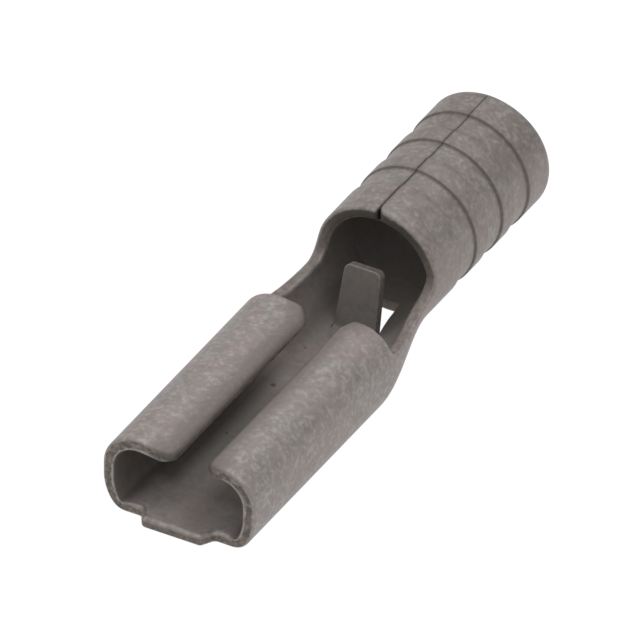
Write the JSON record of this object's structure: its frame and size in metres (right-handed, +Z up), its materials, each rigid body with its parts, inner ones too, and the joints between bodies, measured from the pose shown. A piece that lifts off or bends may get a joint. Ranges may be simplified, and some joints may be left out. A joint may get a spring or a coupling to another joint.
{
  "type": "female spade terminal",
  "caption": "Bare female spade terminal folded from tinned sheet, with two curls that hold a male tab, an open neck with a struck-up wire stop, and a grooved crimp barrel.",
  "frame": {"origin": "centre of the terminal's length and width, on its underside", "axes": "+Y from the mouth to the wire barrel, +X across, +Z up through the curls"},
  "size_m": [0.0038, 0.0144, 0.0031],
  "materials": {
    "tinned_sheet": "matte tin plate"
  },
  "bodies": {
    "root": {"terminal": "tinned_sheet"}
  },
  "joints": []
}
